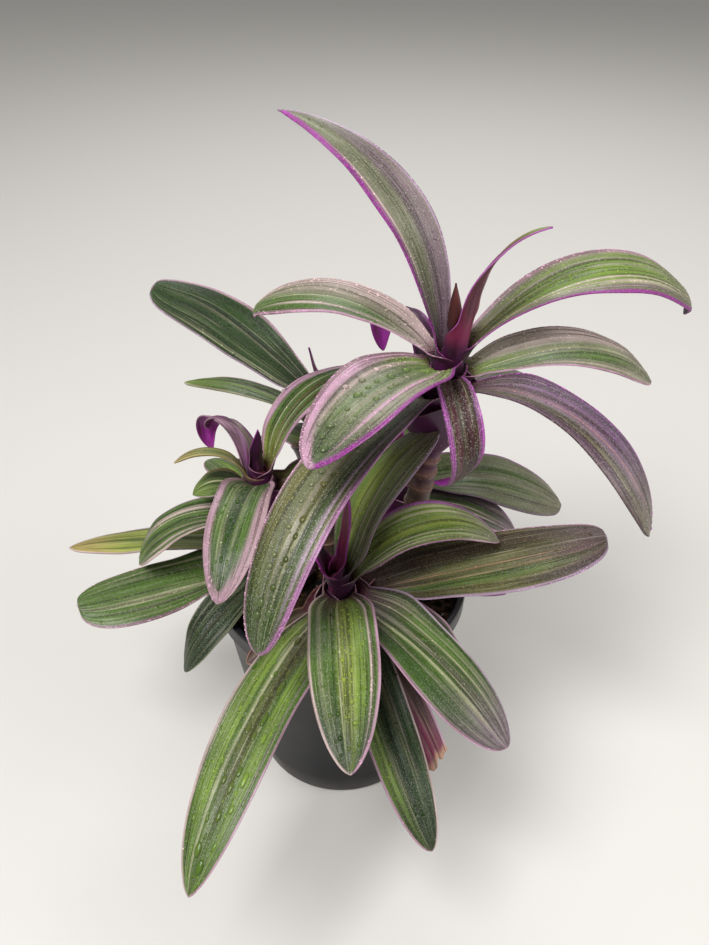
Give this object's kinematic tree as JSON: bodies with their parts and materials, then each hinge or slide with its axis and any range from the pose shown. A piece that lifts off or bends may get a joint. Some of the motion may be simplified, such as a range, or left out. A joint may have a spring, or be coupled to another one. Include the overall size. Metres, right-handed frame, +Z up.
{
  "type": "potted tradescantia",
  "caption": "House plant with leafy shoots of long arched, striped strap leaves, standing in a round tapered plastic nursery pot filled with soil.",
  "frame": {"origin": "the middle of the pot's flat base, on the surface that the pot stands on", "axes": "+Z up along the pot's axis, -Y towards the front of the plant, +X to the right seen from the front"},
  "size_m": [0.2677, 0.2755, 0.3029],
  "materials": {
    "pot_plastic": "satin",
    "soil": "matte",
    "stem": "satin",
    "leaf_green": "satin",
    "leaf_striped": "satin",
    "leaf_grey": "satin",
    "leaf_young": "satin",
    "leaf_old": "matte"
  },
  "bodies": {
    "root": {"pot": "pot_plastic", "soil": "soil", "tall_stem": "stem", "tall_leaf_01": "leaf_young", "tall_leaf_02": "leaf_young", "tall_leaf_03": "leaf_grey", "tall_leaf_04": "leaf_grey", "tall_leaf_05": "leaf_green", "tall_leaf_06": "leaf_grey", "tall_leaf_07": "leaf_grey", "tall_leaf_08": "leaf_green", "tall_leaf_09": "leaf_young", "tall_leaf_10": "leaf_grey", "tall_leaf_11": "leaf_grey", "tall_leaf_12": "leaf_green", "tall_leaf_13": "leaf_old", "tall_leaf_14": "leaf_grey", "front_stem": "stem", "front_leaf_01": "leaf_young", "front_leaf_02": "leaf_young", "front_leaf_03": "leaf_striped", "front_leaf_04": "leaf_striped", "front_leaf_05": "leaf_striped", "front_leaf_06": "leaf_striped", "front_leaf_07": "leaf_green", "front_leaf_08": "leaf_striped", "front_leaf_09": "leaf_green", "front_leaf_10": "leaf_green", "front_leaf_11": "leaf_striped", "front_leaf_12": "leaf_green", "front_leaf_13": "leaf_old", "front_leaf_14": "leaf_old", "left_stem": "stem", "left_leaf_01": "leaf_young", "left_leaf_02": "leaf_young", "left_leaf_03": "leaf_striped", "left_leaf_04": "leaf_striped", "left_leaf_05": "leaf_young", "left_leaf_06": "leaf_striped", "left_leaf_07": "leaf_striped", "left_leaf_08": "leaf_green", "left_leaf_09": "leaf_striped", "left_leaf_10": "leaf_green", "left_leaf_11": "leaf_green", "left_leaf_12": "leaf_green", "left_leaf_13": "leaf_green", "back_stem": "stem", "back_leaf_01": "leaf_young", "back_leaf_02": "leaf_green", "back_leaf_03": "leaf_green", "back_leaf_04": "leaf_green", "back_leaf_05": "leaf_green", "back_leaf_06": "leaf_green", "back_leaf_07": "leaf_green", "right_stem": "stem", "right_leaf_01": "leaf_young", "right_leaf_02": "leaf_green", "right_leaf_03": "leaf_striped", "right_leaf_04": "leaf_green", "right_leaf_05": "leaf_striped"}
  },
  "joints": []
}
